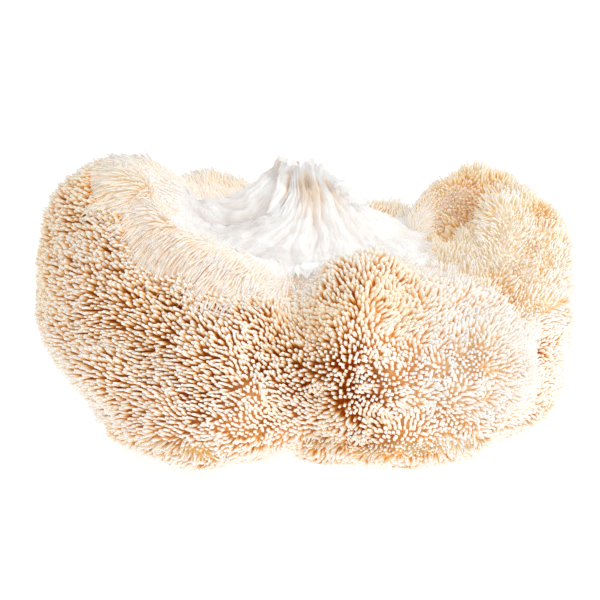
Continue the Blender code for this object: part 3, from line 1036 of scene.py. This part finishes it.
def tufted(points, ends, lengths, spacing, most, chance):
    """Turns hairs' ends so that neighbours gather towards the tip of their tuft's own hair."""
    heads = thinned(points, np.full(len(points), spacing))
    tree = KDTree(len(heads))
    for index in heads:
        tree.insert(points[index], int(index))
    tree.balance()
    head = np.array([tree.find(point)[1] for point in points])
    goal = points[head] + ends[head] * lengths[head, None]
    pull = most * chance.uniform(0.4, 1, len(points))[:, None]
    return unit(ends * (1 - pull) + (goal - points) / lengths[:, None] * pull)


def tones(points, chance):
    """How pale each spine is, painted shade and light included: from -1, brown far up from its foot,
    by 0 and 1, cream, to 2, white.
    """
    tone = TONE_MIDDLE + layered(points, TONE_PATCHES) + chance.normal(0, TONE_SPREAD, len(points))
    for centre, radius, change in SHADE_AND_TONE_PATCHES.values():
        tone += change * near_share(points, centre, radius, TONE_CORE)
    angles, reach = hollow_ways(points)
    past_fluff = reach - round_table(BANDS, angles, FLUFF_EDGE)
    left = bounded(-points[:, 0] / EDGE_SHADE_FADE)
    # Painted shadow under the fluff's overhanging edge, left of the middle.
    tone -= EDGE_SHADE * left * np.exp(-(((past_fluff - EDGE_SHADE_PLACE) / EDGE_SHADE_WIDTH) ** 2))
    return np.clip(tone, -1, 2)


def golds(points):
    """How golden the growth is at each point, from 0 to 1."""
    gold = np.zeros(len(points))
    for centre, radius, strength in GOLDS.values():
        gold = np.maximum(gold, strength * near_share(points, centre, radius, GOLD_CORE))
    return bounded(gold + layered(points, GOLD_PATCHES))


def hollow_shares(points):
    """Which points are bare, and which carry fluff, wool or the torn flesh's own loose fibres."""
    angles, reach = hollow_ways(points)
    reach = reach + layered(points, BAND_WANDER)
    high = points[:, 2] > HOLLOW_FLOOR
    white = high & (reach < round_table(BANDS, angles, FLESH_EDGE))
    soft = high & ~white & (reach < round_table(BANDS, angles, FLUFF_EDGE))
    in_cavity = np.linalg.norm((points - CAVITY) / CAVITY_REACH, axis=1) < CAVITY_BARE
    combing = round_table(BANDS, angles, COMBING)
    wispy = white & (reach > round_table(BANDS, angles, FLESH_EDGE) - WISP_REACH)
    foot = points[:, 2] < FOOT_WOOL + layered(points, FOOT_WANDER)
    woolly = (soft & (combing < WOOL_COMBING)) | foot
    return (white | in_cavity) & ~wispy, soft & (combing >= WOOL_COMBING), woolly, wispy


def grow_fluff(points, normals, chance):
    """Long soft hairs, combed away from the hollow in curled locks."""
    angles, reach = hollow_ways(points)
    starts, ends = combed(points, normals, round_table(BANDS, angles, COMBING), chance)
    ends = unit(ends + field(points, FLUFF_LOCK, 37) * FLUFF_CURL)
    lengths = round_table(BANDS, angles, FLUFF_LENGTH)
    lengths *= chance.uniform(*FLUFF_LENGTH_SPREAD, len(points))
    ends = tufted(points, ends, lengths, FLUFF_TUFTS, TUFT_PULL, chance)
    radii = FLUFF_RADIUS * chance.uniform(*FLUFF_WIDTH_SPREAD, len(points))
    inner, outer = round_table(BANDS, angles, FLESH_EDGE), round_table(BANDS, angles, FLUFF_EDGE)
    tone = tones(points, chance) + FLUFF_SHADE * (1 - (reach - inner) / (outer - inner) * 1.3)
    return (points, starts, ends, lengths, radii), FLUFF_PROFILE, 3, bounded(tone)


def grow_wisps(points, normals, chance):
    """Loose fibres that lie outwards over the torn flesh's edge."""
    starts, ends = combed(points, normals, np.full(len(points), 1.0), chance)
    ends = unit(ends + field(points, 5, 33) * WISP_CURL)
    lengths = chance.uniform(*WISP_LENGTHS, len(points))
    radii = np.full(len(points), WISP_RADIUS)
    roots = points + normals * TORN_LIFT
    tone = 0.75 + grain(points, 4, 35) * 0.5
    return (roots, starts, ends, lengths, radii), FLUFF_PROFILE, 3, tone


def grow_wool(points, normals, chance):
    """Short tousled wool, its tips drawn together in small tufts."""
    tousle = field(points, 9, 26) * 1.1 + field(points, 2.5, 28) * 0.4
    tousle += chance.normal(0, WOOL_SPREAD, points.shape) + WOOL_LEAN
    starts = unit(normals + tousle * WOOL_TOUSLE * 0.5)
    ends = unit(normals * 0.6 + tousle * WOOL_TOUSLE)
    clumps = grain(points, CLUMP_SIZE, 51)
    lengths = WOOL_LENGTH * chance.uniform(*WOOL_LENGTH_SPREAD, len(points))
    lengths *= 1 + clumps * CLUMP_LENGTH
    lengths *= 1 - SHORT_WOOL * near_share(points, SHORT_WOOL_PLACE, SHORT_WOOL_REACH, TONE_CORE)
    ends = tufted(points, ends, lengths, WOOL_TUFTS, TUFT_PULL, chance)
    radii = WOOL_RADIUS * chance.uniform(*WOOL_WIDTH_SPREAD, len(points))
    tone = np.clip(tones(points, chance) + clumps * CLUMP_TONE, -1, 2)
    return (points, starts, ends, lengths, radii), SPINE_PROFILE, 3, tone


def grow_spines(points, normals, chance):
    """The firm spines, shorter where they hang below."""
    starts, ends = leaning(points, normals, chance)
    below = bounded(-normals[:, 2])
    lengths = from_left(points, SPINE_LENGTHS) * chance.uniform(*SPINE_LENGTH_SPREAD, len(points))
    ends = tufted(points, ends, lengths, SPINE_TUFTS, SPINE_PULL, chance)
    lengths = lengths * (1 - SHORTER_BELOW * below)
    radii = from_left(points, SPINE_RADII) * chance.uniform(*SPINE_WIDTH_SPREAD, len(points))
    return (points, starts, ends, lengths, radii), SPINE_PROFILE, 4, tones(points, chance)


def spacings(points, normals, fluffy, woolly, wispy):
    """How far each point's hair keeps from its neighbours."""
    hidden = (normals[:, 2] < UNDERSIDE) | (points[:, 1] > BACK)
    spacing = from_left(points, SPINE_RADII) * from_left(points, SPINE_SPACINGS)
    spacing = spacing * np.where(hidden, HIDDEN_SPACING, 1)
    spacing = np.where(woolly, WOOL_SPACING, spacing)
    spacing = np.where(fluffy, FLUFF_SPACING, spacing)
    return np.where(wispy, WISP_SPACING, spacing)


def spines(mesh, materials):
    """Every spine and hair that grows from the flesh, in a few pieces."""
    chance = np.random.default_rng(SEED)
    points, normals = surface_points(mesh, CANDIDATES, chance)
    bare, fluffy, woolly, wispy = hollow_shares(points)
    woolly &= normals[:, 2] > WOOL_LOWEST
    spacing = spacings(points, normals, fluffy, woolly, wispy)
    grown = np.flatnonzero(~bare)
    kept = grown[thinned(points[grown], spacing[grown])]
    points, normals = points[kept], normals[kept]
    regions = {
        "fluff": fluffy[kept],
        "wool": woolly[kept],
        "wisps": wispy[kept],
        "spines_underside": normals[:, 2] < UNDERSIDE,
        "spines_back_lobes": points[:, 1] > BACK_LOBES,
        "spines_left_lobe": points[:, 0] < LEFT_LOBE,
        "spines_front_lobes": points[:, 0] < RIGHT_LOBE,
        "spines_right_lobe": points[:, 0] >= RIGHT_LOBE,
    }
    growers = {"fluff": grow_fluff, "wool": grow_wool, "wisps": grow_wisps}
    done = np.zeros(len(points), dtype=bool)
    for name, where in regions.items():
        where = where & ~done
        done |= where
        grow = growers.get(name, grow_spines)
        hairs, profile, sides, tone = grow(points[where], normals[where], chance)
        facts = {"tone": tone, "gold": golds(points[where])}
        swept(name, hairs, profile, sides, facts, materials.get(name, materials["spine"]))


# --- materials -------------------------------------------------------------------------------


class Value:
    """A shader value that ordinary arithmetic turns into Math nodes."""

    def __init__(self, shader, socket):
        self.shader = shader
        self.socket = socket

    def combine(self, operation, first, second):
        """A Math node's result for two values, one of which may be a plain number."""
        return self.shader.node("ShaderNodeMath", {"operation": operation}, {0: first, 1: second})

    def __sub__(self, other):
        return self.combine("SUBTRACT", self, other)

    def __rsub__(self, other):
        return self.combine("SUBTRACT", other, self)

    def __mul__(self, other):
        return self.combine("MULTIPLY", self, other)

    def __rmul__(self, other):
        return self.combine("MULTIPLY", other, self)


class Shader:
    """A material's node tree, round one Principled shader."""

    def __init__(self, name):
        self.material = bpy.data.materials.new(name)
        self.material.use_nodes = True
        self.nodes = self.material.node_tree.nodes
        self.surface = self.nodes["Principled BSDF"]

    def plug(self, socket, value):
        """Links a shader value to a socket, or sets the socket to a plain one."""
        if isinstance(value, Value):
            self.material.node_tree.links.new(value.socket, socket)
        elif value is not None:
            socket.default_value = value

    def node(self, kind, settings=None, inputs=None, output=0):
        """A node with its settings and its inputs set or linked, as one of its outputs."""
        made = self.nodes.new(kind)
        for key, value in (settings or {}).items():
            setattr(made, key, value)
        for key, value in (inputs or {}).items():
            self.plug(made.inputs[key], value)
        return Value(self, made.outputs[output])

    def place(self):
        """The point being shaded, in metres."""
        return self.node("ShaderNodeTexCoord", output="Object")

    def attribute(self, name, output="Fac"):
        """A value that the mesh keeps for each vertex."""
        return self.node("ShaderNodeAttribute", {"attribute_name": name}, output=output)

    def noise(self, place, size, detail=3, roughness=0.5):
        """A noise from 0 to 1 whose features are about size metres wide."""
        inputs = {"Vector": place, "Scale": 1 / size, "Detail": detail, "Roughness": roughness}
        return self.node("ShaderNodeTexNoise", inputs=inputs)

    def ramp(self, value, stops):
        """A colour read from stops of place and colour."""
        made = self.nodes.new("ShaderNodeValToRGB")
        elements = made.color_ramp.elements
        elements[0].position, elements[0].color = stops[0][0], (*stops[0][1], 1)
        elements[1].position, elements[1].color = stops[-1][0], (*stops[-1][1], 1)
        for place, colour in stops[1:-1]:
            elements.new(place).color = (*colour, 1)
        self.plug(made.inputs["Fac"], value)
        return Value(self, made.outputs["Color"])

    def ramps(self, value, table):
        """A colour for each named row of stops."""
        return {name: self.ramp(value, stops) for name, stops in table.items()}

    def spread(self, value, low, high):
        """A value stretched so that low becomes 0 and high becomes 1."""
        inputs = {"Value": value, "From Min": low, "From Max": high}
        return self.node("ShaderNodeMapRange", {"clamp": True}, inputs)

    def mix(self, share, first, second, blend="MIX"):
        """The first colour where the share is 0, and the second, or their product, where it is 1."""
        settings = {"data_type": "RGBA", "blend_type": blend}
        return self.node("ShaderNodeMix", settings, {0: share, 6: first, 7: second}, output=2)

    def glow(self, strength, colour):
        """A painted glow: the surface gives off light of its own; on the flesh it stands in for light
        that wanders through it and keeps its shade warm and light.
        """
        self.plug(self.surface.inputs["Emission Color"], colour)
        self.surface.inputs["Emission Strength"].default_value = strength

    def finish(self, colour, roughness, soft, bump=None, strength=0.3, reach=0.0003):
        """The material with its colour, roughness, softness to light, and a bump if it has one."""
        self.plug(self.surface.inputs["Base Color"], colour)
        self.plug(self.surface.inputs["Roughness"], roughness)
        self.surface.inputs["Subsurface Weight"].default_value = soft
        self.surface.inputs["Subsurface Radius"].default_value = SUBSURFACE_RADII
        self.surface.inputs["Subsurface Scale"].default_value = SUBSURFACE_REACH
        self.surface.inputs["Specular IOR Level"].default_value = SHINE
        if bump is not None:
            inputs = {"Height": bump, "Strength": strength, "Distance": reach}
            self.plug(self.surface.inputs["Normal"], self.node("ShaderNodeBump", inputs=inputs))
        return self.material


def spine_material():
    """Near-white tips that sink through cream into orange-brown gaps, which are partly painted shade;
    the deep ramp is painted shade, the white one painted light, and the glow a painted warm glow.
    """
    shader = Shader("spine")
    hue = shader.ramps(shader.attribute("along"), SPINE_COLOURS)
    tone = shader.attribute("tone")
    # Below tone 0 the colour sinks to the deep ramp, painted shade; above tone 1 it rises to white,
    # painted light.
    colour = shader.mix(-1 * tone, shader.mix(tone, hue["warm"], hue["pale"]), hue["deep"])
    colour = shader.mix(tone - 1, colour, hue["white"])
    colour = shader.mix(shader.attribute("gold") * 0.7, colour, SPINE_GOLD, "MULTIPLY")
    shader.glow(SPINE_GLOW, hue["glow"])
    return shader.finish(colour, roughness=0.6, soft=0.05)


def wool_material():
    """Short cream wool over golden gaps, which are partly painted shade, with a painted warm glow."""
    shader = Shader("wool")
    along = shader.attribute("along")
    hue = shader.ramps(along, WOOL_COLOURS)
    tone = shader.attribute("tone")
    colour = shader.mix(tone, hue["warm"], hue["pale"])
    colour = shader.mix(-1 * tone - 0.2, colour, hue["deep"])
    gold = shader.attribute("gold") * (1 - along * 0.6)
    colour = shader.mix(gold, colour, WOOL_GOLD, "MULTIPLY")
    shader.glow(WOOL_GLOW, hue["glow"])
    return shader.finish(colour, roughness=0.65, soft=0.2)


def fluff_material(name, strength, glow):
    """Soft cream hairs, yellower at their feet where the fluff is shaded."""
    shader = Shader(name)
    along = shader.attribute("along")
    hue = shader.ramps(along, FLUFF_COLOURS)
    colour = shader.mix(shader.attribute("tone"), hue["warm"], hue["pale"])
    colour = shader.mix(shader.attribute("gold") * 0.5, colour, SPINE_GOLD, "MULTIPLY")
    shader.glow(strength, shader.ramp(along, glow))
    return shader.finish(colour, roughness=0.65, soft=0.25)


def skin_material():
    """The flesh between the spines: deep orange-brown, partly painted shade in the gaps, with a
    painted glow, and pale where the fluff and torn flesh are.
    """
    shader = Shader("skin")
    mottle = shader.noise(shader.place(), size=0.006, detail=4)
    hue = shader.ramps(mottle, SKIN_COLOURS)
    tone = shader.attribute("tone")
    colour = shader.mix(tone, hue["deep"], hue["light"])
    colour = shader.mix(tone - 1, colour, SKIN_PALEST)
    colour = shader.mix(shader.attribute("pale"), colour, hue["pale"])
    shader.glow(SKIN_GLOW, colour)
    return shader.finish(colour, roughness=0.7, soft=0.1, bump=mottle)


def torn_material():
    """White torn flesh with fine fibres along its folds, tan on its left tip and round the opening,
    painted tan and grey shade in its creases, folds and recess, and a painted glow.
    """
    shader = Shader("torn_flesh")
    fibre = shader.attribute("fibre", "Vector")
    fine = shader.node("ShaderNodeTexNoise", inputs={"Vector": fibre, "Scale": 1.0, "Detail": 4})
    cloud = shader.noise(shader.place(), size=0.012, detail=3)
    colour = shader.ramp(fine, TORN_COLOURS["fibres"])
    colour = shader.mix(shader.spread(cloud, 0.55, 0.8) * 0.25, colour, TORN_CLOUD)
    # Painted tan shade in the deep creases, over the flesh's own tan on the tip and round the opening.
    stain_and_shade = shader.ramp(shader.attribute("stain_and_shade"), TORN_COLOURS["stain_and_shade"])
    colour = shader.mix(1.0, colour, stain_and_shade, "MULTIPLY")
    # Painted grey shade, deeper the farther the folds, creases and recess go in.
    colour = shader.mix(shader.attribute("shade") * 0.8, colour, TORN_SHADE, "MULTIPLY")
    shader.glow(TORN_GLOW, WHITE)
    return shader.finish(colour, roughness=0.55, soft=0.12, bump=fine, strength=0.8, reach=0.0006)


# --- floor, light and camera -----------------------------------------------------------------


def floor():
    """A plain white floor, far wider than the picture."""
    clear_selection()
    bpy.ops.mesh.primitive_plane_add(size=FLOOR_SIZE, location=(0, 0, 0))
    item = bpy.context.object
    item.name = "floor"
    shader = Shader("floor")
    shader.finish(FLOOR_COLOUR, roughness=0.9, soft=0)
    shader.glow(FLOOR_GLOW, WHITE)
    item.data.materials.append(shader.material)


def facing(place, aim):
    """How a lamp or camera at a place is turned to face its aim."""
    return (Vector(aim) - Vector(place)).to_track_quat("-Z", "Y").to_euler()


def key_light():
    """One soft lamp, high on the front right."""
    light = bpy.data.lights.new("key", "AREA")
    light.size = KEY_SIZE
    light.energy = KEY_POWER
    light.color = KEY_COLOUR
    item = bpy.data.objects.new("key", light)
    item.location = KEY_PLACE
    item.rotation_euler = facing(KEY_PLACE, KEY_AIM)
    add_to_scene(item)


def studio():
    """White light from all round, with the key light over it."""
    world = bpy.data.worlds.new("studio")
    bpy.context.scene.world = world
    world.use_nodes = True
    background = world.node_tree.nodes["Background"]
    background.inputs["Color"].default_value = WHITE
    background.inputs["Strength"].default_value = WORLD_STRENGTH
    key_light()
    bpy.context.scene.view_settings.view_transform = "Standard"


def camera():
    """The photograph's view: straight from the front and a little from above."""
    view = bpy.data.cameras.new("camera")
    view.sensor_width = SENSOR
    view.lens = SENSOR * CAMERA_DISTANCE / CAMERA_FIELD
    item = bpy.data.objects.new("camera", view)
    aim = Vector(CAMERA_AIM) * MM
    elevation = math.radians(CAMERA_ELEVATION)
    away = Vector((0, -math.cos(elevation), math.sin(elevation)))
    item.location = aim + away * CAMERA_DISTANCE
    item.rotation_euler = facing(item.location, aim)
    add_to_scene(item)
    bpy.context.scene.camera = item


def skin(mesh, material):
    """The flesh itself, pressed flat where it rests."""
    points = vertex_places(mesh)
    angles, reach = hollow_ways(points)
    high = bounded((points[:, 2] - HOLLOW_FLOOR) / PALE_RISE)
    inside = round_table(BANDS, angles, FLUFF_EDGE) + PALE_EDGE - reach
    points[:, 2] = np.maximum(points[:, 2], 0)
    mesh.vertices.foreach_set("co", placed(points).ravel())
    add_values(mesh, "pale", bounded(inside / PALE_WIDTH) * high)
    add_values(mesh, "tone", tones(points, np.random.default_rng(SEED)))
    return add_piece("skin", mesh, material)


# The vector noise draws its offsets by this seed, so that every run grows the same spines.
noise.seed_set(SEED)
smooth = flesh()
tree = tree_of(smooth)
grown = {
    "spine": spine_material(),
    "wool": wool_material(),
    "fluff": fluff_material("fluff", FLUFF_GLOW, FLUFF_GLOW_COLOURS),
    "wisps": fluff_material("wisps", WISP_GLOW, WISP_GLOW_COLOURS),
}
spines(smooth, grown)
torn = torn_material()
torn_base(tree, torn)
flakes(tree, torn)
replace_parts(skin(smooth, skin_material()), "fruiting_body")
floor()
studio()
camera()
